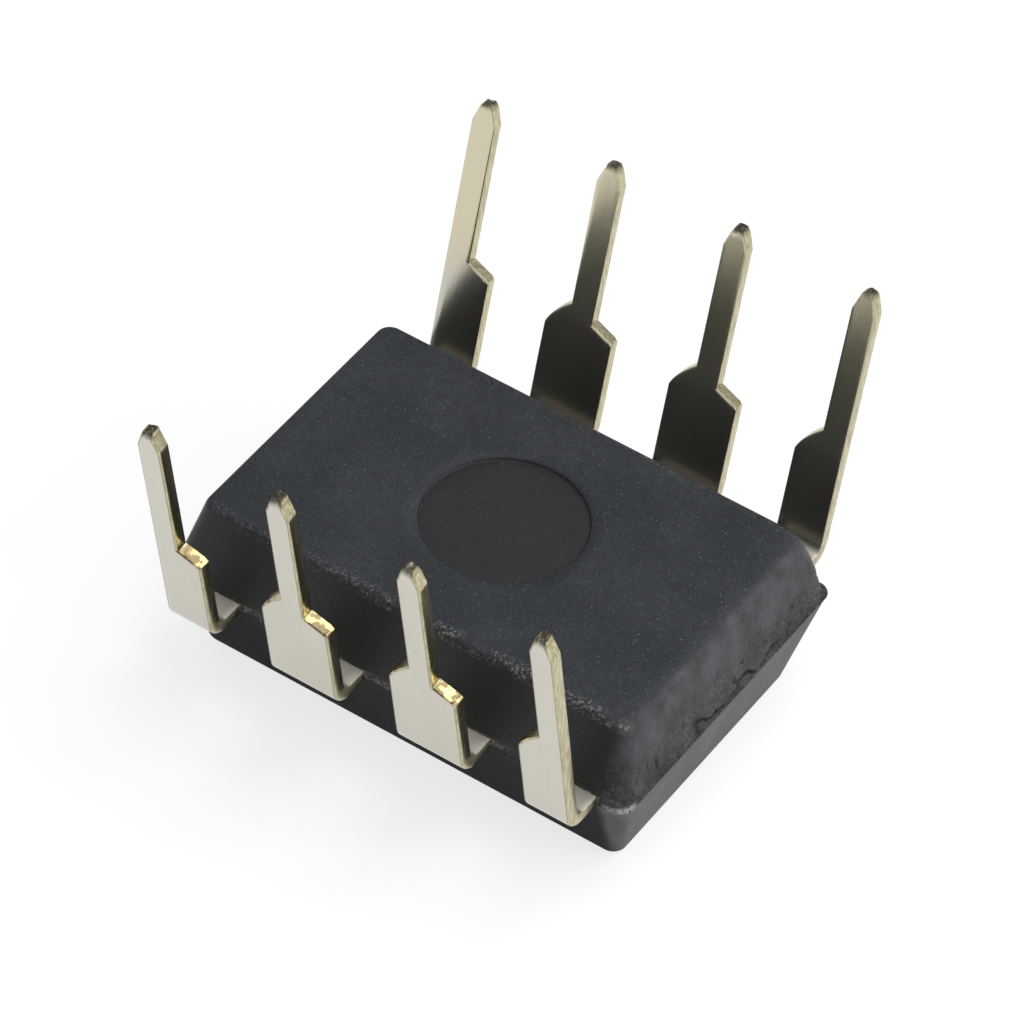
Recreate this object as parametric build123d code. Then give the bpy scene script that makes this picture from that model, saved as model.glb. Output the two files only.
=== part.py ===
from build123d import *
from math import cos, radians, sin, tan
import os

# An 8-lead dual in-line package, lying on its marking face with its leads pointing up.
# Millimetres. +X runs along the rows of leads, +Y across them, +Z up towards the lead tips.
# The origin is at the middle of the marking face. The index notch is at the -X end.
# Leads 1 to 4 are the +Y row from -X to +X, and leads 5 to 8 the -Y row from +X to -X.

# Moulded body: two tapered halves that meet at the parting line
BODY_WIDTH = 6.45              # across the rows, at the parting line
MARKED_HALF_HEIGHT = 1.79      # marking face to parting line
PLAIN_HALF_HEIGHT = 1.51       # parting line to underside
END_MARGIN = 0.825             # centre of an end lead to the end of the body
END_DRAFT = 12.7               # degrees
SIDE_DRAFT = 18.6              # degrees
CORNER_RADIUS = 0.25
EDGE_RADIUS = 0.08
EJECTOR_RADIUS = 1.46
EJECTOR_DEPTH = 0.05
NOTCH_RADIUS = 0.80
NOTCH_DEPTH = 1.20

# Lead frame sheet, centred on the parting line
SHEET = 0.25
PITCH = 2.54
LEADS_PER_ROW = 4
STUB = 0.585                   # side of the body to the row's centre plane
SPLAY = 11.5                   # degrees outward from upright
BEND_INNER_RADIUS = 0.20

# Lead outline: half widths from the lead's centre, and heights above the underside
NARROW_HALF = 0.23
WIDE_HALF = 0.67
ROUND_SHOULDER_START = 0.31
ROUND_SHOULDER_RISE = 0.59
ROUND_SHOULDER_BULGE = 0.07
SLOPED_SHOULDER_START = 0.45
SLOPED_SHOULDER_RISE = 0.21
TIP_REACH = 3.82
TIP_TAPER = 0.42
TIP_HALF = 0.09

# Fingers inside the body
FINGER_GAP = 0.25              # finger tip to die paddle
FINGER_TIP_HALF = 0.25
MIDDLE_TIP_SHIFT = 0.37        # middle finger's tip, from its lead's centre towards the body's centre
LOCK_START = 0.45              # side of the body to the locking notches
LOCK_LENGTH = 0.40
LOCK_DEPTH = 0.25
KNEE_INSET = 0.90              # side of the body to where a corner finger turns inward
CORNER_TIP_Y = 0.70            # centre of a corner finger's tip from the middle of the body

# Die, die paddle and tie bar
DIE_LENGTH = 1.90
DIE_WIDTH = 1.50
DIE_THICKNESS = 0.28
ATTACH_THICKNESS = 0.05
ATTACH_FILLET = 0.08           # how far the adhesive squeezes out around the die
PADDLE_MARGIN = 0.35
TIE_BAR_WIDTH = 0.30

# Bond wires
WIRE_RADIUS = 0.02
BALL_RADIUS = 0.05
BALL_HEIGHT = 0.03
PAD_INSET = 0.14
LANDING_INSET = 0.25
LOOP_HEIGHT = 0.25
STITCH_OVERRUN = 0.06

BODY_LENGTH = PITCH * (LEADS_PER_ROW - 1) + 2 * END_MARGIN
BODY_HEIGHT = MARKED_HALF_HEIGHT + PLAIN_HALF_HEIGHT
PARTING_Z = MARKED_HALF_HEIGHT
SHEET_LOW_Z = PARTING_Z - SHEET / 2
ROW_Y = BODY_WIDTH / 2 + STUB
BEND_RADIUS = BEND_INNER_RADIUS + SHEET / 2
BEND_ANGLE = 90 - SPLAY
BEND_RUN = BEND_RADIUS * tan(radians(BEND_ANGLE / 2))
PADDLE_LENGTH = DIE_LENGTH + 2 * PADDLE_MARGIN
PADDLE_WIDTH = DIE_WIDTH + 2 * PADDLE_MARGIN
DIE_FACE_Z = SHEET_LOW_Z - ATTACH_THICKNESS - DIE_THICKNESS


def lead_x(column):
    """Centre of a lead along X; columns count from -X."""
    return PITCH * (column - (LEADS_PER_ROW - 1) / 2)


def body_half(height):
    """A tapered half of the body, its wide face at z = 0 and its narrow face at z = height."""
    half_length = BODY_LENGTH / 2
    half_width = BODY_WIDTH / 2
    narrow_length = half_length - height * tan(radians(END_DRAFT))
    narrow_width = half_width - height * tan(radians(SIDE_DRAFT))
    ends = Plane.XZ * make_face(
        Polyline((-half_length, 0), (half_length, 0), (narrow_length, height), (-narrow_length, height), close=True)
    )
    sides = Plane.YZ * make_face(
        Polyline((-half_width, 0), (half_width, 0), (narrow_width, height), (-narrow_width, height), close=True)
    )
    block = extrude(ends, amount=BODY_WIDTH, both=True) & extrude(sides, amount=BODY_LENGTH, both=True)
    upright = [e for e in block.edges() if abs(e.tangent_at(0.5).Z) > 0.5]
    block = fillet(upright, CORNER_RADIUS)
    return fillet(block.edges().group_by(Axis.Z)[-1], EDGE_RADIUS)


def body_outside():
    """Both halves, with the ejector mark in the underside and the index notch in the marked half."""
    marked = Pos(0, 0, PARTING_Z) * mirror(body_half(MARKED_HALF_HEIGHT), about=Plane.XY)
    plain = Pos(0, 0, PARTING_Z) * body_half(PLAIN_HALF_HEIGHT)
    ejector_mark = Pos(0, 0, BODY_HEIGHT) * Cylinder(EJECTOR_RADIUS, 2 * EJECTOR_DEPTH)
    marked_end = BODY_LENGTH / 2 - MARKED_HALF_HEIGHT * tan(radians(END_DRAFT))
    index_notch = Pos(-marked_end, 0, 0) * Cylinder(NOTCH_RADIUS, 2 * NOTCH_DEPTH)
    return marked + plain - ejector_mark - index_notch


def height_along(height_over_underside):
    """Distance along a sloping lead, from its bend's corner, of a height above the underside."""
    return (PLAIN_HALF_HEIGHT + height_over_underside) / cos(radians(SPLAY))


def upright_blade(left_half, right_half):
    """The sloping part of a lead in the +Y row, at x = 0: bend to tip, in the lead's own plane."""
    slope = radians(SPLAY)
    lead_plane = Plane(origin=(0, ROW_Y, PARTING_Z), x_dir=(1, 0, 0), z_dir=(0, -cos(slope), sin(slope)))
    tip = height_along(TIP_REACH) - SHEET / 2 * tan(slope)
    taper = tip - TIP_TAPER
    round_start = height_along(ROUND_SHOULDER_START)
    round_end = height_along(ROUND_SHOULDER_START + ROUND_SHOULDER_RISE)
    slope_start = height_along(SLOPED_SHOULDER_START)
    slope_end = height_along(SLOPED_SHOULDER_START + SLOPED_SHOULDER_RISE)
    bulge_x = -(left_half + NARROW_HALF) / 2 - ROUND_SHOULDER_BULGE
    bulge_s = (round_start + round_end) / 2
    tip_edge = Polyline(
        (-NARROW_HALF, round_end),
        (-NARROW_HALF, taper),
        (-TIP_HALF, tip),
        (TIP_HALF, tip),
        (NARROW_HALF, taper),
        (NARROW_HALF, slope_end),
    )
    outline = [tip_edge]
    if right_half > NARROW_HALF:
        outline.append(Line((NARROW_HALF, slope_end), (right_half, slope_start)))
        outline.append(Line((right_half, slope_start), (right_half, BEND_RUN)))
    else:
        outline.append(Line((NARROW_HALF, slope_end), (right_half, BEND_RUN)))
    outline.append(Line((right_half, BEND_RUN), (-left_half, BEND_RUN)))
    if left_half > NARROW_HALF:
        outline.append(Line((-left_half, BEND_RUN), (-left_half, round_start)))
        outline.append(ThreePointArc((-left_half, round_start), (bulge_x, bulge_s), (-NARROW_HALF, round_end)))
    else:
        outline.append(Line((-left_half, BEND_RUN), (-NARROW_HALF, round_end)))
    return extrude(lead_plane * make_face(outline), amount=SHEET / 2, both=True)


def bend(left_half, right_half):
    """The curved part between the flat finger and the sloping blade, in the +Y row at x = 0."""
    centre = (ROW_Y - BEND_RUN, PARTING_Z + BEND_RADIUS)
    inner = CenterArc(centre, BEND_RADIUS - SHEET / 2, -90, BEND_ANGLE)
    outer = CenterArc(centre, BEND_RADIUS + SHEET / 2, -90, BEND_ANGLE)
    sector = make_face([inner, outer, Line(inner @ 0, outer @ 0), Line(inner @ 1, outer @ 1)])
    return Pos(-left_half, 0, 0) * extrude(Plane.YZ * sector, amount=left_half + right_half)


def sheet_metal(outline):
    """A flat piece of the lead frame sheet from its outline in XY."""
    return Pos(0, 0, PARTING_Z) * extrude(make_face(Polyline(*outline, close=True)), amount=SHEET / 2, both=True)


def middle_finger(x, left_half, right_half):
    """The flat part of a middle lead: two locking notches, then a taper to its tip."""
    inward = -1 if x > 0 else 1
    side_y = BODY_WIDTH / 2
    lock_outer = side_y - LOCK_START
    lock_inner = lock_outer - LOCK_LENGTH
    tip_x = x + inward * MIDDLE_TIP_SHIFT
    tip_y = PADDLE_WIDTH / 2 + FINGER_GAP
    left = x - left_half
    right = x + right_half
    return sheet_metal([
        (left, ROW_Y - BEND_RUN),
        (left, lock_outer),
        (left + LOCK_DEPTH, lock_outer),
        (left + LOCK_DEPTH, lock_inner),
        (left, lock_inner),
        (tip_x - FINGER_TIP_HALF, tip_y),
        (tip_x + FINGER_TIP_HALF, tip_y),
        (right, lock_inner),
        (right - LOCK_DEPTH, lock_inner),
        (right - LOCK_DEPTH, lock_outer),
        (right, lock_outer),
        (right, ROW_Y - BEND_RUN),
    ])


def corner_finger(x, left_half, right_half, gap):
    """The flat part of a corner lead: straight in, then slanting to the end of the die paddle."""
    side = 1 if x > 0 else -1
    outer_half = right_half if x > 0 else left_half
    inner_half = left_half if x > 0 else right_half
    knee_y = BODY_WIDTH / 2 - KNEE_INSET
    tip_x = side * (PADDLE_LENGTH / 2 + gap)
    outer_x = x + side * outer_half
    inner_x = x - side * inner_half
    return sheet_metal([
        (outer_x, ROW_Y - BEND_RUN),
        (outer_x, knee_y),
        (tip_x, CORNER_TIP_Y - FINGER_TIP_HALF),
        (tip_x, CORNER_TIP_Y + FINGER_TIP_HALF),
        (inner_x, knee_y),
        (inner_x, ROW_Y - BEND_RUN),
    ])


def die_paddle():
    """The plate under the die, with its tie bar cut off flush at the notched end of the body."""
    paddle = Pos(0, 0, PARTING_Z) * Box(PADDLE_LENGTH, PADDLE_WIDTH, SHEET)
    bar_length = BODY_LENGTH / 2 - PADDLE_LENGTH / 2
    bar_x = -(BODY_LENGTH + PADDLE_LENGTH) / 4
    return paddle + Pos(bar_x, 0, PARTING_Z) * Box(bar_length, TIE_BAR_WIDTH, SHEET)


def lead(column, in_far_row, gap=FINGER_GAP):
    """One lead. An end lead has a shoulder on its inner side only, and the rows mirror each other."""
    x = lead_x(column)
    at_left_end = column == 0
    at_right_end = column == LEADS_PER_ROW - 1
    left_half = NARROW_HALF if at_left_end else WIDE_HALF
    right_half = NARROW_HALF if at_right_end else WIDE_HALF
    if at_left_end or at_right_end:
        finger = corner_finger(x, left_half, right_half, gap)
    else:
        finger = middle_finger(x, left_half, right_half)
    formed = Pos(x, 0, 0) * (bend(left_half, right_half) + upright_blade(left_half, right_half))
    whole = formed + finger
    return whole if in_far_row else mirror(whole, about=Plane.XZ)


def die_attach():
    """The layer of adhesive between the die and its paddle."""
    length = DIE_LENGTH + 2 * ATTACH_FILLET
    width = DIE_WIDTH + 2 * ATTACH_FILLET
    return Pos(0, 0, SHEET_LOW_Z - ATTACH_THICKNESS / 2) * Box(length, width, ATTACH_THICKNESS)


def silicon_die():
    """The die, hanging under the paddle with its active face towards the marking face."""
    return Pos(0, 0, DIE_FACE_Z + DIE_THICKNESS / 2) * Box(DIE_LENGTH, DIE_WIDTH, DIE_THICKNESS)


def landing_point(column):
    """Where a bond wire ends on a finger of the +Y row."""
    x = lead_x(column)
    side = 1 if x > 0 else -1
    if 0 < column < LEADS_PER_ROW - 1:
        return x - side * MIDDLE_TIP_SHIFT, PADDLE_WIDTH / 2 + FINGER_GAP + LANDING_INSET
    tip_x = PADDLE_LENGTH / 2 + FINGER_GAP
    knee_x = abs(x) - (WIDE_HALF - NARROW_HALF) / 2
    knee_y = BODY_WIDTH / 2 - KNEE_INSET
    rise = (knee_y - CORNER_TIP_Y) / (knee_x - tip_x)
    return side * (tip_x + LANDING_INSET), CORNER_TIP_Y + LANDING_INSET * rise


def bond_wire(column, in_far_row):
    """A gold wire from a ball on the die's edge, looping down to a stitch on its finger."""
    spread = DIE_LENGTH / 2 - PAD_INSET
    pad_x = spread * (2 * column / (LEADS_PER_ROW - 1) - 1)
    pad_y = DIE_WIDTH / 2 - PAD_INSET
    land_x, land_y = landing_point(column)

    def at(share, z):
        return Vector(pad_x + share * (land_x - pad_x), pad_y + share * (land_y - pad_y), z)

    top_z = DIE_FACE_Z - LOOP_HEIGHT
    path = Polyline(
        at(0, DIE_FACE_Z),
        at(0, top_z + 4 * WIRE_RADIUS),
        at(0.12, top_z),
        at(0.45, top_z + WIRE_RADIUS),
        at(0.80, (top_z + SHEET_LOW_Z) / 2),
        at(1, SHEET_LOW_Z + STITCH_OVERRUN),
    )
    section = Plane(origin=path @ 0, z_dir=path % 0) * RegularPolygon(WIRE_RADIUS, 8)
    wire = sweep(section, path=path, transition=Transition.RIGHT)
    room = Pos(0, 0, SHEET_LOW_Z / 2) * Box(BODY_LENGTH, BODY_WIDTH, SHEET_LOW_Z)
    ball = Pos(pad_x, pad_y, DIE_FACE_Z - BALL_HEIGHT / 2) * Cylinder(BALL_RADIUS, BALL_HEIGHT)
    whole = (wire & room) + ball
    return whole if in_far_row else mirror(whole, about=Plane.XZ)


def every_piece():
    """All nodes by name. The body is moulded round the rest, so the rest is cut from it."""
    inner = {}
    for column in range(LEADS_PER_ROW):
        far_pin = column + 1
        near_pin = 2 * LEADS_PER_ROW - column
        if far_pin == LEADS_PER_ROW:
            inner[f"lead_{far_pin}_and_die_paddle"] = lead(column, True, gap=0) + die_paddle()
        else:
            inner[f"lead_{far_pin}"] = lead(column, True)
        inner[f"lead_{near_pin}"] = lead(column, False)
        inner[f"bond_wire_{far_pin}"] = bond_wire(column, True)
        inner[f"bond_wire_{near_pin}"] = bond_wire(column, False)
    inner["die_attach"] = die_attach()
    inner["silicon_die"] = silicon_die()
    body = body_outside()
    for piece in inner.values():
        body = body - piece
    return {"package_body": body, **inner}


os.makedirs("parts", exist_ok=True)
for node, shape in every_piece().items():
    export_step(shape, f"parts/{node}.step")
    print(node, len(shape.solids()), round(shape.volume, 5))
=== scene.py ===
import bpy
import math
import numpy as np
from mathutils import Matrix, Vector


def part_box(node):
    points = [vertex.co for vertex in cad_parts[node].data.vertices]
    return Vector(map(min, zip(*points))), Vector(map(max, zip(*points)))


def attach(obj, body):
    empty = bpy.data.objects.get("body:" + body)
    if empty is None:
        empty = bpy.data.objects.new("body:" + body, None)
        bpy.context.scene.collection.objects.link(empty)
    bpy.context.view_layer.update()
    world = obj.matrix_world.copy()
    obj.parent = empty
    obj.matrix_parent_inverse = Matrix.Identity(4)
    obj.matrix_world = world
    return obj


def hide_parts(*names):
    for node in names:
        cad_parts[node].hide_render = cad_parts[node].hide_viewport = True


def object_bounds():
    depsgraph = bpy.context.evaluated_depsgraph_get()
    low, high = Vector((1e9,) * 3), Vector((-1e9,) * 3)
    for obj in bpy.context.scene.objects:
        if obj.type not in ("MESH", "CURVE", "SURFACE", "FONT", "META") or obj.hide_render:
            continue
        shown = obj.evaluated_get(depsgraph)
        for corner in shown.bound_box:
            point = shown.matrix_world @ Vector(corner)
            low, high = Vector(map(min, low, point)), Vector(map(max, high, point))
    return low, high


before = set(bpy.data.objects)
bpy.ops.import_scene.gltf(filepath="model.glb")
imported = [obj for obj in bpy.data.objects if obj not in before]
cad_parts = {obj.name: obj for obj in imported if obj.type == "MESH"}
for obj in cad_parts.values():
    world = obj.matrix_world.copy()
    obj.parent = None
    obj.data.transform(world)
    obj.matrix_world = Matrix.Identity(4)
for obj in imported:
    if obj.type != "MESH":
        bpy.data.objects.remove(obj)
cad_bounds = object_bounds()

# ---------------------------------------------------------------------------------------------
# Stage: a plain white table under soft lamps, seen from the front right and above.
# Metal mirrors the table as plain white; the shadow of the part stays on it.
# ---------------------------------------------------------------------------------------------
MM = 0.001


def srgb(red, green, blue):
    """Scene colour of a display colour given from 0 to 255: the sRGB curve undone."""
    level = np.array([red, green, blue]) / 255
    linear = np.where(level <= 0.04045, level / 12.92, ((level + 0.055) / 1.055) ** 2.4)
    return (*[float(value) for value in linear], 1.0)


class Shade:
    """A socket of a finish. Arithmetic on it adds Math nodes."""

    def __init__(self, finish, socket):
        self.finish = finish
        self.socket = socket

    def math(self, operation, *others):
        inputs = dict(enumerate((self, *others)))
        return self.finish.add("ShaderNodeMath", {"operation": operation}, inputs)

    def __add__(self, other):
        return self.math("ADD", other)

    def __sub__(self, other):
        return self.math("SUBTRACT", other)

    def __mul__(self, other):
        return self.math("MULTIPLY", other)

    def __rsub__(self, other):
        return (self * -1.0) + other

    __radd__ = __add__
    __rmul__ = __mul__

    def steps(self, low, high):
        """0 at low, 1 at high and an eased change between, whichever of the two is larger."""
        inputs = {"Value": self, "From Min": low, "From Max": high}
        return self.finish.add("ShaderNodeMapRange", {"interpolation_type": "SMOOTHSTEP"}, inputs)

    def largest(self, other):
        return self.math("MAXIMUM", other)

    def size(self):
        return self.math("ABSOLUTE")


class Finish:
    """A surface finish: a Principled shader whose sockets take numbers, colours or Shades."""

    def __init__(self, name):
        self.material = bpy.data.materials.new(name)
        self.material.use_nodes = True
        self.tree = self.material.node_tree
        self.shader = self.tree.nodes["Principled BSDF"]

    def feed(self, socket, value):
        if isinstance(value, Shade):
            self.tree.links.new(value.socket, socket)
        else:
            socket.default_value = value

    def add(self, kind, settings=None, inputs=None, output=0):
        """Any node: its settings first, then the values or links of its sockets."""
        node = self.tree.nodes.new(kind)
        for name, value in (settings or {}).items():
            setattr(node, name, value)
        for name, value in (inputs or {}).items():
            self.feed(node.inputs[name], value)
        return Shade(self, node.outputs[output])

    def place(self, stretch=(1, 1, 1)):
        """Object coordinates in millimetres, times a stretch along each axis."""
        position = self.add("ShaderNodeTexCoord", output="Object")
        scale = [share / MM for share in stretch]
        return self.add("ShaderNodeMapping", None, {"Vector": position, "Scale": scale})

    def axes(self):
        split = self.add("ShaderNodeSeparateXYZ", None, {"Vector": self.place()})
        return [Shade(self, output) for output in split.socket.node.outputs]

    def attribute(self, name):
        return self.add("ShaderNodeAttribute", {"attribute_name": name}, None, "Fac")

    def noise(self, size, detail=2.0, rough=0.5, stretch=(1, 1, 1)):
        """Noise with features about that many millimetres across."""
        inputs = {"Vector": self.place(stretch), "Scale": 1 / size, "Detail": detail, "Roughness": rough}
        return self.add("ShaderNodeTexNoise", None, inputs)

    def cells(self, size):
        """Distance to the nearest of scattered points that lie about that many millimetres apart."""
        inputs = {"Vector": self.place(), "Scale": 1 / size}
        return self.add("ShaderNodeTexVoronoi", None, inputs, "Distance")

    def blend(self, amount, first, second, mode="MIX"):
        node = self.tree.nodes.new("ShaderNodeMix")
        node.data_type = "RGBA"
        node.blend_type = mode
        for index, value in ((0, amount), (6, first), (7, second)):
            self.feed(node.inputs[index], value)
        return Shade(self, node.outputs[2])

    def relief(self, height, depth):
        """A bump that is depth millimetres deep where height goes from 0 to 1."""
        return self.add("ShaderNodeBump", None, {"Height": height, "Distance": depth * MM, "Strength": 1.0})

    def set(self, **inputs):
        for name, value in inputs.items():
            self.feed(self.shader.inputs[name.replace("_", " ")], value)
        return self.material


azimuth = math.radians(31.093)
elevation = math.radians(45.949)
roll = math.radians(-4.110)
view_distance = 112.263 * MM
view_target = Vector((0, 0, 2.5)) * MM
view_offset = Vector((0.1638, 0.6823)) * MM
field_lens = 235.05

back = Vector((
    math.sin(azimuth) * math.cos(elevation), -math.cos(azimuth) * math.cos(elevation), math.sin(elevation)
))
level_right = Vector((math.cos(azimuth), math.sin(azimuth), 0))
level_up = back.cross(level_right)
right = math.cos(roll) * level_right - math.sin(roll) * level_up
up = math.sin(roll) * level_right + math.cos(roll) * level_up
camera = bpy.data.objects.new("camera", bpy.data.cameras.new("camera"))
camera.data.lens = field_lens
camera.data.sensor_width = 36
camera.data.clip_start = 1 * MM
camera.data.clip_end = 5
spot = view_target + view_offset.x * right + view_offset.y * up + view_distance * back
camera.matrix_world = Matrix.Translation(spot) @ Matrix((right, up, back)).transposed().to_4x4()
bpy.context.scene.collection.objects.link(camera)
bpy.context.scene.camera = camera
bpy.context.scene.view_settings.view_transform = "Standard"

world = bpy.data.worlds.new("studio")
bpy.context.scene.world = world
world.use_nodes = True
sky = world.node_tree.nodes["Background"]
sky.inputs["Color"].default_value = (0.97, 0.985, 1.0, 1.0)
sky.inputs["Strength"].default_value = 0.55


def softbox(name, towards, distance, size, level):
    """A square lamp that faces the part and would light a white card there to that level."""
    lamp = bpy.data.lights.new(name, "AREA")
    lamp.shape = "SQUARE"
    lamp.size = size * MM
    lamp.energy = level * math.pi ** 2 * (distance * MM) ** 2
    light = bpy.data.objects.new(name, lamp)
    aim = Vector(towards).normalized()
    light.location = aim * distance * MM
    light.rotation_euler = aim.to_track_quat("Z", "Y").to_euler()
    bpy.context.scene.collection.objects.link(light)


softbox("overhead_softbox", (0.25, 0.35, 1.0), 150, 110, 0.45)
softbox("right_softbox", (1.0, 0.30, 0.45), 140, 80, 0.40)


def table_top():
    """A flat square far larger than the part, level with the face that the part lies on."""
    reach = 1.5
    corners = [(-reach, -reach, 0), (reach, -reach, 0), (reach, reach, 0), (-reach, reach, 0)]
    mesh = bpy.data.meshes.new("table")
    mesh.from_pydata(corners, [], [(0, 1, 2, 3)])
    table = bpy.data.objects.new("table", mesh)
    bpy.context.scene.collection.objects.link(table)
    paint = Finish("table_white")
    seen = paint.add("ShaderNodeLightPath", None, None, "Is Camera Ray")
    rays = seen.socket.node.outputs
    for kind in ("Is Glossy Ray", "Is Transmission Ray"):
        seen = seen.largest(Shade(paint, rays[kind]))
    lit_share = 0.30
    glow = 0.74
    paint.set(
        Base_Color=(lit_share, lit_share, lit_share, 1), Roughness=1.0, Specular_IOR_Level=0.0,
        Emission_Color=(1, 1, 1, 1), Emission_Strength=seen * glow,
    )
    mesh.materials.append(paint.material)


table_top()

# ---------------------------------------------------------------------------------------------
# Body: silica-filled epoxy moulded round the lead frame in two tapered halves. The mould's
# eroded steel leaves fine grain on the underside, the ejector pin leaves a smooth round mark,
# and a little flash stays along the parting line and round the broken-off gate at one end.
# ---------------------------------------------------------------------------------------------
body_low, body_high = [np.array(corner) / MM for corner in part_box("package_body")]
BODY_LENGTH, BODY_WIDTH, BODY_HEIGHT = body_high - body_low
PARTING_Z = 1.79
END_TAPER = math.tan(math.radians(12.7))
SIDE_TAPER = math.tan(math.radians(18.6))
CORNER_RADIUS = 0.25
SIDE_ROUNDING = 0.10
FAR_END_ROUNDING = 0.34
EJECTOR_RADIUS = 1.46
EJECTOR_DEPTH = 0.05
NOTCH_RADIUS = 0.80
NOTCH_DEPTH = 1.20
WALL_INSET = 0.012
EJECTOR_FILLET = 0.05
LOWER_INSET = 0.006
LEDGE_TOP = 0.015
LEDGE_FOOT = 0.012
GRIT_DEPTH = 0.022
SCAR_DEPTH = 0.09
FLASH_DEPTH = 0.03
CRACK_HALF_WIDTH = 0.032
CRACK_REACH = 0.11


def lattice(cell):
    """A repeatable number from 0 to 1 at each whole-number point: what a large sine leaves over."""
    mixed = np.sin(cell[..., 0] * 127.1 + cell[..., 1] * 311.7 + cell[..., 2] * 74.7) * 43758.5453
    return mixed - np.floor(mixed)


def grain(points, size):
    """Smooth noise from 0 to 1 in space: lattice values blended with eased weights along each axis."""
    scaled = points / size
    cell = np.floor(scaled)
    part = scaled - cell
    ease = part * part * (3 - 2 * part)
    total = 0
    for corner in np.ndindex(2, 2, 2):
        weight = np.prod(np.where(np.array(corner) == 1, ease, 1 - ease), axis=-1)
        total = total + weight * lattice(cell + np.array(corner))
    return total


def smooth_rise(value, low, high):
    """0 below low, 1 above high, eased between, as a whole array."""
    share = np.clip((value - low) / (high - low), 0, 1)
    return share * share * (3 - 2 * share)


def reach_of(directions, half_length, half_width, corner):
    """Distance from the middle to a rounded rectangle's outline: to its straight sides, or where a
    ray falls past their ends, to the corner's circle."""
    c = np.abs(directions[..., 0])
    s = np.abs(directions[..., 1])
    straight = np.minimum(half_length / np.maximum(c, 1e-9), half_width / np.maximum(s, 1e-9))
    px = half_length - corner
    py = half_width - corner
    along = c * px + s * py
    root = np.sqrt(np.maximum(along ** 2 - (px ** 2 + py ** 2 - corner ** 2), 0))
    in_corner = (straight * c > px) & (straight * s > py)
    return np.where(in_corner, along + root, straight)


def even_directions(count):
    """Unit directions whose rays meet the parting outline at even steps along its length, with
    steps half as long round the corners and shorter still at the gate's end."""
    angle = np.linspace(0, 2 * math.pi, 20001)
    ray = np.stack([np.cos(angle), np.sin(angle)], axis=-1)
    reach = reach_of(ray, BODY_LENGTH / 2, BODY_WIDTH / 2, CORNER_RADIUS)
    outline = ray * reach[:, None]
    near_corner = np.abs(np.abs(outline) - np.array([BODY_LENGTH, BODY_WIDTH]) / 2).max(axis=1) < 0.45
    at_gate = outline[:, 0] > BODY_LENGTH / 2 - 0.3
    closeness = np.where(near_corner, 2.0, 1.0) * np.where(at_gate, 2.5, 1.0)
    step = np.linalg.norm(np.diff(outline, axis=0), axis=1) * closeness[1:]
    run = np.concatenate([[0], np.cumsum(step)])
    chosen = np.interp(np.arange(count) / count * run[-1], run, angle)
    return np.stack([np.cos(chosen), np.sin(chosen)], axis=-1)


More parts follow.
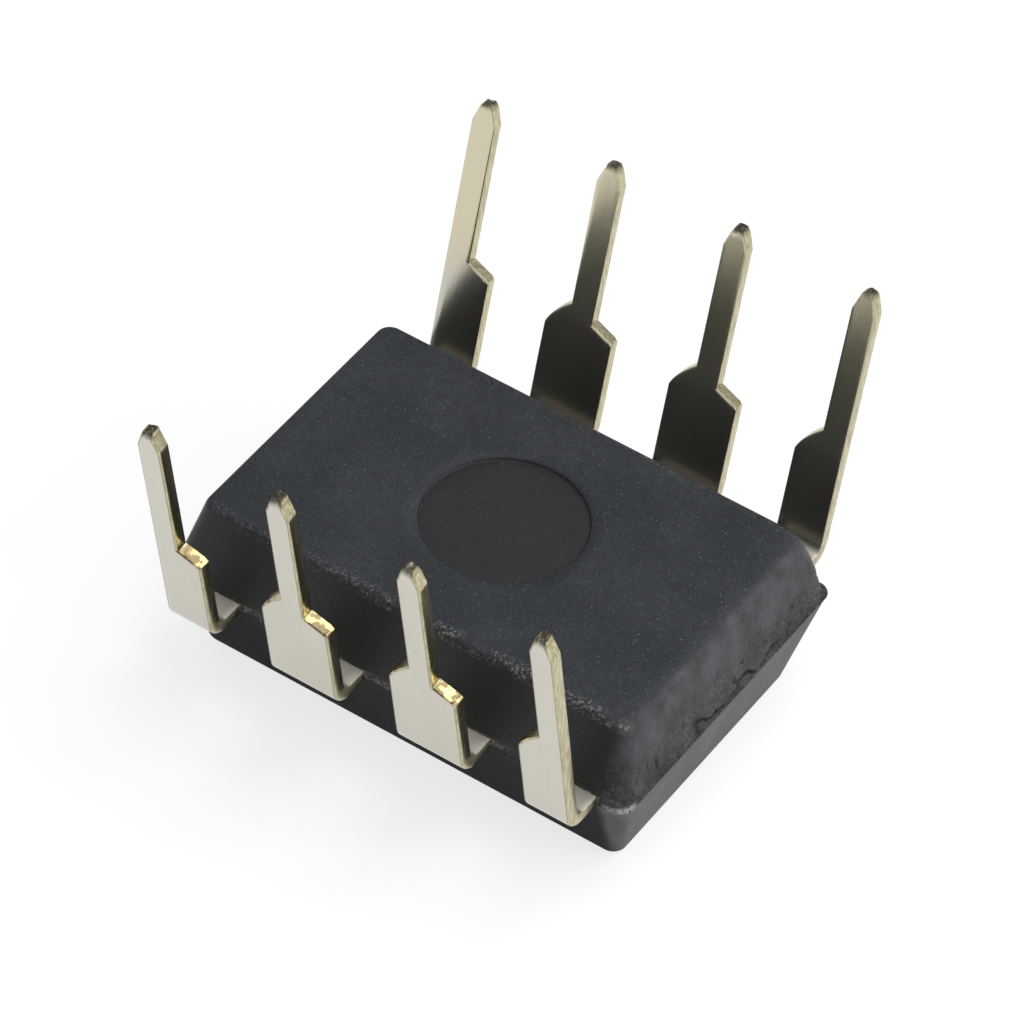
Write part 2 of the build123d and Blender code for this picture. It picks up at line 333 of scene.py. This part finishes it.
def body_rings(ray):
    """Radius and height of every ring of the body, from the middle of the underside, over its
    edge, down both tapered walls and back to the middle of the marking face."""
    count = len(ray)
    far_end = smooth_rise(ray[:, 0], 0.80, 0.86)
    rounding = SIDE_ROUNDING + (FAR_END_ROUNDING - SIDE_ROUNDING) * far_end
    radii = []
    heights = []

    def ring(radius, height):
        radii.append(np.broadcast_to(radius, count))
        heights.append(np.broadcast_to(height, count))

    def wall(height, inward=0.0):
        away = np.abs(height - PARTING_Z)
        half_length = BODY_LENGTH / 2 - WALL_INSET - away * END_TAPER - inward
        half_width = BODY_WIDTH / 2 - WALL_INSET - away * SIDE_TAPER - inward
        return reach_of(ray, half_length, half_width, CORNER_RADIUS)

    def notched(radius):
        centre = BODY_LENGTH / 2 - PARTING_Z * END_TAPER
        sideways = centre * np.abs(ray[:, 1])
        room = np.sqrt(np.maximum(NOTCH_RADIUS ** 2 - sideways ** 2, 0))
        bite = centre * np.abs(ray[:, 0]) - room
        inside = (ray[:, 0] < 0) & (sideways < NOTCH_RADIUS)
        return np.where(inside, np.minimum(bite, radius), radius)

    floor = BODY_HEIGHT - EJECTOR_DEPTH
    for share in np.linspace(0.2, 1, 5):
        ring(share * (EJECTOR_RADIUS - EJECTOR_FILLET), floor + 0.004 * share ** 2)
    for turn in np.linspace(0.15, 1, 6) * math.pi / 2:
        radius = EJECTOR_RADIUS - EJECTOR_FILLET + EJECTOR_FILLET * math.sin(turn)
        ring(radius, BODY_HEIGHT - EJECTOR_DEPTH * math.cos(turn) ** 2)
    edge = wall(BODY_HEIGHT, rounding)
    for share in np.linspace(0.05, 1, 10) ** 0.8:
        ring(EJECTOR_RADIUS + (edge - EJECTOR_RADIUS) * share, BODY_HEIGHT)
    for share in np.linspace(0, 1, 9)[1:]:
        height = BODY_HEIGHT - share ** 2 * rounding
        ring(wall(height, (1 - share) ** 2 * rounding), height)
    shoulder = BODY_HEIGHT - rounding
    for share in np.linspace(0, 1, 44)[1:]:
        height = shoulder + (PARTING_Z + 0.025 - shoulder) * share * (1.6 - 0.6 * share)
        ring(wall(height), height)
    ring(wall(PARTING_Z) + WALL_INSET, PARTING_Z + LEDGE_TOP)
    ring(wall(PARTING_Z) + WALL_INSET, PARTING_Z - LEDGE_FOOT / 3)
    ring(wall(PARTING_Z) - LOWER_INSET, PARTING_Z - LEDGE_FOOT)
    for share in np.linspace(0, 1, 6)[1:]:
        height = PARTING_Z - LEDGE_FOOT + (NOTCH_DEPTH - PARTING_Z + LEDGE_FOOT) * share
        ring(wall(height) - LOWER_INSET, height)
    low = SIDE_ROUNDING
    for share in np.linspace(0, 1, 8):
        height = NOTCH_DEPTH - LOWER_INSET + (low - NOTCH_DEPTH + LOWER_INSET) * share
        ring(notched(wall(height) - LOWER_INSET), height)
    for share in np.linspace(1, 0, 7)[1:]:
        height = share ** 2 * low
        ring(notched(wall(height, (1 - share) ** 2 * low) - LOWER_INSET), height)
    rim = notched(wall(0, low) - LOWER_INSET)
    for share in np.linspace(1, 0, 6)[1:-1]:
        ring(rim * share, 0)
    return np.array(radii), np.array(heights)


def moulded_body():
    """Rings about the vertical axis, each a radius for every direction, roughened by noise where
    the gate was broken off, along the parting line and on the underside's edges."""
    ray = even_directions(900)
    radii, heights = body_rings(ray)
    points = np.stack([radii * ray[:, 0], radii * ray[:, 1], heights], axis=-1)
    x, y, z = points[..., 0], points[..., 1], points[..., 2]
    on_wall = smooth_rise(z, 0.2, 0.4) * (1 - smooth_rise(z, 3.0, 3.2))
    above_parting = smooth_rise(z, PARTING_Z + 0.01, PARTING_Z + 0.05)
    at_end = above_parting * smooth_rise(x, 3.9, 4.2)
    side_band = above_parting * (1 - smooth_rise(z, 1.93, 2.03)) * (1 - smooth_rise(np.abs(x), 4.0, 4.3))
    rough = grain(points, 0.09) * 0.6 + grain(points, 0.04) * 0.4
    slow = grain(points, 0.5)
    wander = grain(points * np.array([0, 1, 0]), 0.45) - 0.5
    jag = grain(points * np.array([0, 1, 0]), 0.11) - 0.5
    crack_z = PARTING_Z + 0.13 + 0.24 * wander + 0.07 * jag
    crack = np.exp(-((z - crack_z) / CRACK_HALF_WIDTH) ** 2)
    crack_depth = 0.025 + 0.085 * smooth_rise(y, -1.5, -0.5) * (1 - smooth_rise(y, 1.2, 1.8))
    pits = smooth_rise(grain(points, 0.12), 0.64, 0.88) * (1 - smooth_rise(z, 2.25, 2.75))
    scar_and_painted_shade = at_end * np.maximum(crack * (0.3 + rough) * crack_depth / CRACK_REACH, 0.3 * pits)
    corner_dent = smooth_rise(x, 4.1, 4.45) * smooth_rise(np.abs(y), 2.75, 3.1) * above_parting
    corner_dent = corner_dent * (1 - smooth_rise(z, 2.0, 2.6))
    sink = at_end * (1 - smooth_rise(z, 2.15, 2.7)) * GRIT_DEPTH * rough * (0.4 + slow)
    sink = sink + scar_and_painted_shade * SCAR_DEPTH + side_band * FLASH_DEPTH * rough
    sink = sink + on_wall * 0.004 * slow + corner_dent * (0.05 + 0.03 * rough)
    radii = radii - sink
    flat = smooth_rise(z, 3.25, 3.299)
    edge_near = smooth_rise(np.abs(y), 2.40, 2.62) * flat
    drop = edge_near * 0.02 * smooth_rise(grain(points, 0.07), 0.45, 0.8)
    heights = heights - drop - flat * 0.0015 * grain(points, 0.12)
    points = np.stack([radii * ray[:, 0], radii * ray[:, 1], heights], axis=-1)
    rings, around, _ = points.shape
    poles = np.array([[0, 0, BODY_HEIGHT - EJECTOR_DEPTH], [0, 0, 0]])
    verts = np.concatenate([points.reshape(-1, 3), poles]) * MM
    index = np.arange(rings * around).reshape(rings, around)
    after = np.roll(index, -1, axis=1)
    quads = np.stack([index[:-1], index[1:], after[1:], after[:-1]], axis=-1).reshape(-1, 4)
    top_pole = np.full(around, rings * around)
    first = np.stack([top_pole, index[0], after[0]], axis=-1)
    last = np.stack([index[-1], top_pole + 1, after[-1]], axis=-1)
    mesh = bpy.data.meshes.new("moulded_body")
    mesh.from_pydata(verts.tolist(), [], quads.tolist() + first.tolist() + last.tolist())
    mesh.polygons.foreach_set("use_smooth", np.ones(len(mesh.polygons), bool))
    # The scar weight also goes on the mesh, where the finish paints shade into the crack and pits.
    layer = mesh.attributes.new("scar_and_painted_shade", "FLOAT", "POINT")
    layer.data.foreach_set("value", np.append(scar_and_painted_shade.ravel(), [0, 0]).astype(np.float32))
    mesh.update()
    return mesh


def body_finish():
    """Blue-grey compound: grain and pale filler specks on the flat faces, a smooth dark ejector
    mark, darker polished sides, pale rough flash at the edges and the parting line, and painted
    shade in the crack and pits at the gate's end."""
    paint = Finish("moulding_compound")
    x, y, z = paint.axes()
    radius = (x * x + y * y).math("SQRT")
    underside = z.steps(3.20, 3.28)
    marked_face = z.steps(0.06, 0.02)
    flat = underside.largest(marked_face)
    mark = radius.steps(1.47, 1.44) * underside
    far_end = x.steps(3.98, 4.25)
    sides = 1 - flat
    below = z.steps(1.81, 1.775)
    cloud = paint.noise(1.2, 3.0)
    fine = paint.noise(0.035, 3.0, 0.6)
    grit = paint.noise(0.05, 4.0, 0.65)
    mottling = paint.noise(0.13, 3.0, 0.6)
    streaky = paint.noise(0.55, 4.0, 0.6, (1, 1, 0.7))
    tone = paint.blend(cloud.steps(0.35, 0.65), srgb(30, 34, 39), srgb(43, 46, 50))
    tone = paint.blend(mottling.steps(0.35, 0.65) * 0.6, tone, srgb(25, 28, 33))
    tone = paint.blend(fine.steps(0.42, 0.72) * 0.45, tone, srgb(66, 70, 75))
    side_tone = paint.blend(mottling * 0.6, srgb(41, 42, 44), srgb(48, 49, 51))
    end_tone = paint.blend(streaky.steps(0.32, 0.68), srgb(28, 30, 33), srgb(72, 74, 78))
    end_tone = paint.blend(mottling.steps(0.4, 0.65) * 0.4, end_tone, srgb(34, 35, 38))
    end_tone = paint.blend(fine.steps(0.4, 0.7) * 0.35, end_tone, srgb(78, 80, 83))
    worn = z.steps(2.75, 2.25) * paint.noise(0.7, 2.0).steps(0.35, 0.55)
    end_tone = paint.blend(worn * grit.steps(0.52, 0.64) * 0.5, end_tone, srgb(112, 113, 115))
    end_tone = paint.blend(worn * grit.steps(0.46, 0.36) * 0.6, end_tone, srgb(18, 19, 21))
    lower_tone = paint.blend(streaky.steps(0.3, 0.7), srgb(30, 33, 36), srgb(62, 65, 68))
    end_tone = paint.blend(below, end_tone, lower_tone)
    side_tone = paint.blend(far_end, side_tone, end_tone)
    tone = paint.blend(sides, tone, side_tone)
    # Painted shade: the crack and pits cut into the gate's end are darkened in the colour as well.
    tone = paint.blend(paint.attribute("scar_and_painted_shade").steps(0.1, 0.7) * 0.85, tone, srgb(14, 15, 16))
    mark_tone = paint.blend(fine.steps(0.3, 0.7), srgb(8, 13, 17), srgb(20, 24, 27))
    mark_tone = paint.blend(paint.noise(0.22, 4.0, 0.6).steps(0.62, 0.76) * 0.4, mark_tone, srgb(66, 70, 73))
    tone = paint.blend(mark, tone, mark_tone)
    specks = paint.cells(0.17).steps(0.11, 0.04) * paint.noise(0.5, 1.0).steps(0.42, 0.58)
    crowding = (paint.noise(0.11, 1.0) + x * 0.014).steps(0.48, 0.60)
    tiny_specks = paint.cells(0.09).steps(0.20, 0.08) * crowding
    speckle = specks.largest(tiny_specks * 0.7) * flat * (1 - mark)
    tone = paint.blend(speckle * 0.38, tone, srgb(150, 153, 158))
    edge = (y.steps(-2.46, -2.62) + y.steps(2.50, 2.66) * 0.35) * z.steps(3.10, 3.20)
    clusters = paint.noise(0.35, 2.0).steps(0.34, 0.58) * (x.steps(-3.5, 1.5) * 0.7 + 0.3)
    flecks = edge * 0.95 * grit.steps(0.50, 0.62) * clusters
    parting = z.steps(1.81, 1.84) * z.steps(1.98, 1.90)
    flash = parting * (1 - far_end) * grit.steps(0.42, 0.62) * paint.noise(0.4, 2.0).steps(0.30, 0.55)
    tone = paint.blend(flecks.largest(flash) * 0.7, tone, srgb(146, 145, 143))
    lip = x.steps(4.10, 4.35) * y.steps(-2.75, -2.95) * z.steps(1.77, 1.78) * z.steps(1.86, 1.82)
    tone = paint.blend(lip * grit.steps(0.36, 0.50) * 0.85, tone, srgb(168, 166, 160))
    height = fine * 0.6 + mottling * 0.6 + far_end * (1 - below) * z.steps(3.0, 2.4) * grit * 3.5
    normal = paint.relief(height, 0.015)
    return paint.set(
        Base_Color=tone, Roughness=0.62 - mark * 0.12 - sides * 0.14 + below * (1 - far_end) * 0.45,
        Specular_IOR_Level=0.35, Normal=normal,
    )


body = bpy.data.objects.new("moulded_body", moulded_body())
body.data.materials.append(body_finish())
bpy.context.scene.collection.objects.link(body)
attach(body, "root")
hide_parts("package_body")

# ---------------------------------------------------------------------------------------------
# Leads: stamped from 0.25 mm copper alloy sheet, bent up out of the body and tin plated.
# The faces are smooth and mirror softly; the sheared edges are streaked and warmer. Each lead
# has a wide part with shoulders that stop it at the board, and a narrow pin with a cut tip.
# ---------------------------------------------------------------------------------------------
SHEET = 0.25
PITCH = 2.54
ROW_Y = 3.81
SPLAY = math.radians(11.5)
BEND_RADIUS = 0.325
NARROW_HALF = 0.23
WIDE_HALF = 0.67
TIP_HALF = 0.09
TIP_TAPER = 0.42
CUT_LENGTH = 0.14
LEFT_SHOULDER_Z = (3.61, 4.20)
RIGHT_SHOULDER_Z = (3.74, 3.79, 3.95)
OVERALL_HEIGHT = cad_bounds[1][2] / MM
BEND_ANGLE = math.pi / 2 - SPLAY
BEND_RUN = BEND_RADIUS * math.tan(BEND_ANGLE / 2)
SIDE_Y = BODY_WIDTH / 2
PADDLE_HALF_LENGTH = 1.30
PADDLE_HALF_WIDTH = 1.10
FINGER_GAP = 0.25
TIE_BAR_HALF = 0.15
FINGER_HALF = 0.25
FINGER_SHIFT = 0.37
LOCK_BITE = 0.25
LOCK_FROM_SIDE = (0.45, 0.85)
KNEE_FROM_SIDE = 0.90
HEEL_Y = 0.95
TOE_Y = 0.45


def along_slope(height):
    """Distance along the sloping part, from its bend's corner, of a height above the table."""
    return (height - PARTING_Z) / math.cos(SPLAY)


TIP_S = along_slope(OVERALL_HEIGHT) - SHEET / 2 * math.tan(SPLAY)


def shoulder_edges(left_wide, right_wide):
    """Half widths against distance along the slope: the left shoulder is a bulging curve, the
    right one a short straight ramp, and both edges run to the tip's taper."""
    turn = np.linspace(0, 1, 12)
    start, end = [along_slope(height) for height in LEFT_SHOULDER_Z]
    arc_s = start + (end - start) * turn
    arc_x = WIDE_HALF + (NARROW_HALF - WIDE_HALF) * turn + 0.24 * turn * (1 - turn)
    tip_s = [TIP_S - TIP_TAPER, TIP_S]
    tip_x = [NARROW_HALF, TIP_HALF]
    left = (np.array([0.0, *tip_s]), np.array([NARROW_HALF, *tip_x]))
    right = left
    if left_wide:
        left = (np.array([0.0, *arc_s, *tip_s]), np.array([WIDE_HALF, *arc_x, *tip_x]))
    if right_wide:
        ramp_s = [along_slope(height) for height in RIGHT_SHOULDER_Z]
        ramp_x = [WIDE_HALF, WIDE_HALF - 0.05, NARROW_HALF]
        right = (np.array([0.0, *ramp_s, *tip_s]), np.array([WIDE_HALF, *ramp_x, *tip_x]))
    return left, right


def finger_edges(x, left_half, right_half, column, joined):
    """Left and right edges of the flat part, as x against distance inward from the bend."""
    bend_y = ROW_Y - BEND_RUN
    sharp = 0.004
    if column in (1, 2):
        inward = 1 if x < 0 else -1
        lock = [SIDE_Y - distance for distance in LOCK_FROM_SIDE]
        tip_x = x + inward * FINGER_SHIFT
        y = [bend_y, lock[0], lock[0] - sharp, lock[1], lock[1] - sharp, PADDLE_HALF_WIDTH + FINGER_GAP]
        wide = x - left_half
        bitten = wide + LOCK_BITE
        left = [wide, wide, bitten, bitten, wide, tip_x - FINGER_HALF]
        wide = x + right_half
        bitten = wide - LOCK_BITE
        right = [wide, wide, bitten, bitten, wide, tip_x + FINGER_HALF]
        return np.array(y), np.array(left), np.array(right)
    side = 1 if x > 0 else -1
    outer = x + side * (right_half if side > 0 else left_half)
    inner = x - side * (left_half if side > 0 else right_half)
    knee_y = SIDE_Y - KNEE_FROM_SIDE
    tip_x = side * (PADDLE_HALF_LENGTH + (0 if joined else FINGER_GAP))
    y = [bend_y, knee_y, HEEL_Y, TOE_Y]
    inner_x = [inner, inner, tip_x, tip_x]
    heel_share = (HEEL_Y - TOE_Y) / (knee_y - TOE_Y)
    outer_x = [outer, outer, tip_x + (outer - tip_x) * heel_share, tip_x + side * sharp]
    if joined:
        reach = PADDLE_HALF_WIDTH
        merge = tip_x + (outer - tip_x) * (reach - TOE_Y) / (knee_y - TOE_Y)
        bar = -BODY_LENGTH / 2
        y = [bend_y, knee_y, reach + 0.01, reach, TOE_Y, TIE_BAR_HALF, TIE_BAR_HALF - sharp,
             -TIE_BAR_HALF, -TIE_BAR_HALF - sharp, -reach]
        slant = inner + (tip_x - inner) * (knee_y - reach) / (knee_y - HEEL_Y)
        inner_x = [inner, inner, slant, -PADDLE_HALF_LENGTH, -PADDLE_HALF_LENGTH, -PADDLE_HALF_LENGTH,
                   bar, bar, -PADDLE_HALF_LENGTH, -PADDLE_HALF_LENGTH]
        outer_x = [outer, outer, merge, merge, tip_x, tip_x, tip_x, tip_x, tip_x, tip_x]
    left, right = (inner_x, outer_x) if side > 0 else (outer_x, inner_x)
    return np.array(y), np.array(left), np.array(right)


def lead_path(finger_y, edges):
    """Stations from finger tip to pin tip: a straight run in Y, an arc, and a straight slope.
    Each has a place and an outward normal in the YZ plane, and where it lies on the slope."""
    flat_y = np.unique(np.concatenate([finger_y, np.linspace(finger_y.min(), finger_y.max(), 24)]))
    turn = np.linspace(0, BEND_ANGLE, 14)[1:-1]
    slope_marks = np.concatenate([edges[0][0], edges[1][0]])
    slope_marks = slope_marks[slope_marks > BEND_RUN]
    slope_s = np.unique(np.concatenate([slope_marks, np.linspace(BEND_RUN, TIP_S, 70)]))
    centre_y = ROW_Y - BEND_RUN
    centre_z = PARTING_Z + BEND_RADIUS
    y = np.concatenate([flat_y, centre_y + BEND_RADIUS * np.sin(turn), ROW_Y + slope_s * math.sin(SPLAY)])
    flat_z = np.full(len(flat_y), PARTING_Z)
    z = np.concatenate([flat_z, centre_z - BEND_RADIUS * np.cos(turn), PARTING_Z + slope_s * math.cos(SPLAY)])
    lean = np.concatenate([np.zeros(len(flat_y)), turn, np.full(len(slope_s), BEND_ANGLE)])
    normal = np.stack([np.sin(lean), -np.cos(lean)], axis=-1)
    slope = np.concatenate([np.zeros(len(flat_y) + len(turn)), slope_s])
    return y, z, normal, slope, len(flat_y)


def section_ring(outer_round, inner_round):
    """One turn round a strip's section as rows of (edge weight from left 0 to right 1, x nudge,
    level from inner to outer): four quarter circles joined by the two flat faces."""
    across = np.linspace(0, 1, 9)[1:-1]
    turn = np.linspace(0, math.pi / 2, 4)

    def corner(weight, rounding, face):
        nudge = (1 - 2 * weight) * rounding * (1 - np.sin(turn))
        level = face * (SHEET / 2 - rounding * (1 - np.cos(turn)))
        return np.stack([np.full(len(turn), weight), nudge, level], axis=-1)

    def flat(weights, rounding, level):
        return np.stack([weights, rounding * (1 - 2 * weights), np.full(len(weights), level)], axis=-1)

    outer_face = flat(across, outer_round, SHEET / 2)
    inner_face = flat(across[::-1], inner_round, -SHEET / 2)
    return np.concatenate([
        corner(0.0, outer_round, 1)[::-1], outer_face, corner(1.0, outer_round, 1),
        corner(1.0, inner_round, -1)[::-1], inner_face, corner(0.0, inner_round, -1),
    ])


def lead_mesh(name, column, far_row, joined):
    """A strip carried along the lead's path: at each station the section's corners follow the
    stamped outline's left and right edges, and its thickness follows the path's normal."""
    x = PITCH * (column - 1.5)
    left_wide, right_wide = column > 0, column < 3
    left_half = WIDE_HALF if left_wide else NARROW_HALF
    right_half = WIDE_HALF if right_wide else NARROW_HALF
    edges = shoulder_edges(left_wide, right_wide)
    finger_y, finger_left, finger_right = finger_edges(x, left_half, right_half, column, joined)
    y, z, normal, slope, flats = lead_path(finger_y, edges)
    order = np.argsort(finger_y)
    left = x - np.interp(slope, edges[0][0], edges[0][1])
    right = x + np.interp(slope, edges[1][0], edges[1][1])
    left[:flats] = np.interp(y[:flats], finger_y[order], finger_left[order])
    right[:flats] = np.interp(y[:flats], finger_y[order], finger_right[order])
    section = section_ring(0.045, 0.02)
    weight, nudge, level = section[:, 0], section[:, 1], section[:, 2]
    width = (right - left)[:, None]
    ease = np.clip(width / 0.2, 0, 1)
    cut = smooth_rise(slope, TIP_S - CUT_LENGTH, TIP_S - 0.01)[:, None]
    level = np.where(level > 0, level * (1 - 0.5 * cut ** 2), level)
    px = left[:, None] + width * weight + nudge * ease
    py = y[:, None] + normal[:, :1] * level
    pz = z[:, None] + normal[:, 1:] * level
    points = np.stack([px, py, pz], axis=-1)
    unevenness = (grain(points * np.array([1, 1, 0.4]), 0.35) - 1) * 0.005
    points[..., 1] += unevenness * normal[:, :1]
    points[..., 2] -= cut * np.maximum(grain(points + x, 0.08) - 0.35, 0) * 0.16
    if not far_row:
        points[..., 1] *= -1
    stations, around, _ = points.shape
    index = np.arange(stations * around).reshape(stations, around)
    after = np.roll(index, -1, axis=1)
    quads = np.stack([index[:-1], after[:-1], after[1:], index[1:]], axis=-1).reshape(-1, 4)
    caps = [index[0][::-1].tolist(), index[-1].tolist()]
    if far_row:
        quads = quads[:, ::-1]
        caps = [cap[::-1] for cap in caps]
    mesh = bpy.data.meshes.new(name)
    mesh.from_pydata((points.reshape(-1, 3) * MM).tolist(), [], quads.tolist() + caps)
    on_face = np.abs(section[:, 2]) > SHEET / 2 - 0.004
    rim = np.broadcast_to(np.where(on_face, 0.0, 1.0), (stations, around))
    inner = np.broadcast_to(np.where(level < 0, 1.0, 0.0), (stations, around))
    cut = np.broadcast_to(cut, (stations, around))
    for label, values in (("sheared", rim), ("inner", inner), ("cut", cut)):
        layer = mesh.attributes.new(label, "FLOAT", "POINT")
        layer.data.foreach_set("value", values.ravel().astype(np.float32))
    smooth = np.ones(len(mesh.polygons), bool)
    smooth[-2:] = False
    mesh.polygons.foreach_set("use_smooth", smooth)
    mesh.update()
    return mesh


def lead_finish():
    """Tin plate: soft champagne mirror faces with faint drawing lines, and sheared edges that are
    rougher, olive to pale beige, with dark streaks. Painted shade darkens the front shoulder ramps
    and the line where each face rounds into its edge; painted gold highlights sit on those ramps."""
    paint = Finish("tin_plated_lead")
    rim = paint.attribute("sheared")
    sheared = rim.steps(0.25, 0.75)
    # Band where each face rounds into its sheared edge, used for a painted shade line.
    outline = rim.steps(0.05, 0.35) * rim.steps(0.95, 0.55)
    inner = paint.attribute("inner")
    cut = paint.attribute("cut")
    x, y, height = paint.axes()
    low = height.steps(2.12, 1.95)
    near_shoulder = y.steps(0.1, -0.1) * x.size().steps(3.9, 3.8)
    shoulder = height.steps(3.72, 3.76) * height.steps(3.98, 3.93) * near_shoulder
    cloud = paint.noise(0.8, 2.0)
    lines = paint.noise(0.03, 2.0, 0.5, (1, 0.08, 0.08))
    spots = paint.noise(0.06, 2.0, 0.6)
    face = paint.blend(cloud, srgb(206, 202, 191), srgb(198, 194, 181))
    face = paint.blend(inner * height.steps(3.2, 4.6) * 0.8, face, srgb(211, 204, 174))
    face = paint.blend(lines.steps(0.45, 0.8) * 0.12, face, srgb(186, 178, 158))
    face = paint.blend(spots.steps(0.68, 0.76) * 0.35, face, srgb(128, 120, 98))
    streaks = paint.noise(0.05, 3.0, 0.6, (1, 1, 0.15))
    edge = paint.blend(streaks.steps(0.3, 0.7), srgb(162, 154, 122), srgb(206, 200, 166))
    edge = paint.blend(streaks.steps(0.60, 0.74) * 0.45, edge, srgb(92, 84, 62))
    # Painted shade darkens the front row's shoulder ramps; painted gold highlight spots follow, fading out at
    # the row's left end.
    edge = paint.blend(shoulder * 0.9, edge, srgb(118, 102, 72))
    painted_gold_highlight = shoulder * x.steps(-3.6, -3.2) * paint.noise(0.20, 2.0).steps(0.48, 0.56)
    edge = paint.blend(painted_gold_highlight, edge, srgb(222, 204, 138))
    tone = paint.blend(sheared, face, edge)
    # Painted shade: a dark olive line where each face rounds over into its sheared edge.
    tone = paint.blend(outline * (streaks.steps(0.3, 0.55) * 0.4 + 0.25), tone, srgb(74, 66, 44))
    tone = paint.blend(cut * (streaks.steps(0.3, 0.6) * 0.5 + 0.4), tone, srgb(50, 46, 36))
    ripple = lines * 0.25 + sheared * streaks * (0.8 + shoulder * 2.0)
    roughness = 0.19 + inner * 0.03 + sheared * 0.06 + low * inner * 0.26 + cut * 0.2
    return paint.set(
        Base_Color=tone, Metallic=1.0, Roughness=roughness, Normal=paint.relief(ripple, 0.003)
    )


lead_metal = lead_finish()
for column in range(4):
    for far_row in (True, False):
        pin = column + 1 if far_row else 8 - column
        joined = pin == 4
        node = "lead_4_and_die_paddle" if joined else f"lead_{pin}"
        name = f"plated_lead_{pin}"
        lead = bpy.data.objects.new(name, lead_mesh(name, column, far_row, joined))
        lead.data.materials.append(lead_metal)
        bpy.context.scene.collection.objects.link(lead)
        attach(lead, "root")
        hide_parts(node)

# ---------------------------------------------------------------------------------------------
# Die and its adhesive: a sawn square of silicon, face down under the paddle, on silver epoxy.
# ---------------------------------------------------------------------------------------------


def die_finish():
    """Polished silicon: blocks and fine tracks in dull violet and gold, inside a plain border."""
    paint = Finish("silicon")
    x, y = paint.axes()[:2]
    blocks = paint.add(
        "ShaderNodeTexBrick", None,
        {"Vector": paint.place(), "Scale": 3.0, "Color1": srgb(70, 66, 84), "Color2": srgb(96, 88, 92),
         "Mortar": srgb(150, 132, 96), "Mortar Size": 0.02},
    )
    tracks = paint.noise(0.04, 2.0, 0.5, (1, 0.1, 1))
    border = x.size().steps(0.84, 0.86).largest(y.size().steps(0.64, 0.66))
    tone = paint.blend(tracks.steps(0.4, 0.6) * 0.4, blocks, srgb(170, 150, 108))
    tone = paint.blend(border, tone, srgb(74, 78, 86))
    normal = paint.relief(tracks, 0.002)
    return paint.set(Base_Color=tone, Roughness=0.22 + tracks * 0.1, Metallic=0.3, Normal=normal)


def adhesive_finish():
    """Silver flakes in cured epoxy: grey, finely mottled and slightly uneven."""
    paint = Finish("die_attach_adhesive")
    flakes = paint.noise(0.03, 3.0, 0.6)
    tone = paint.blend(flakes.steps(0.35, 0.65), srgb(150, 148, 144), srgb(196, 194, 190))
    normal = paint.relief(flakes, 0.006)
    return paint.set(Base_Color=tone, Roughness=0.5 + flakes * 0.2, Metallic=0.6, Normal=normal)


def gold_finish():
    """Drawn gold wire with faint die marks along it."""
    paint = Finish("bond_wire_gold")
    marks = paint.noise(0.02, 2.0, 0.5)
    tone = paint.blend(marks, srgb(232, 190, 92), srgb(214, 168, 70))
    normal = paint.relief(marks, 0.001)
    return paint.set(Base_Color=tone, Metallic=1.0, Roughness=0.24 + marks * 0.12, Normal=normal)


def refinish(node, material):
    """Gives a piece of the frame that keeps its shape a finish of its own."""
    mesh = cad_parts[node].data
    mesh.materials.clear()
    mesh.materials.append(material)


refinish("silicon_die", die_finish())
refinish("die_attach", adhesive_finish())
gold = gold_finish()
for pin in range(1, 9):
    refinish(f"bond_wire_{pin}", gold)
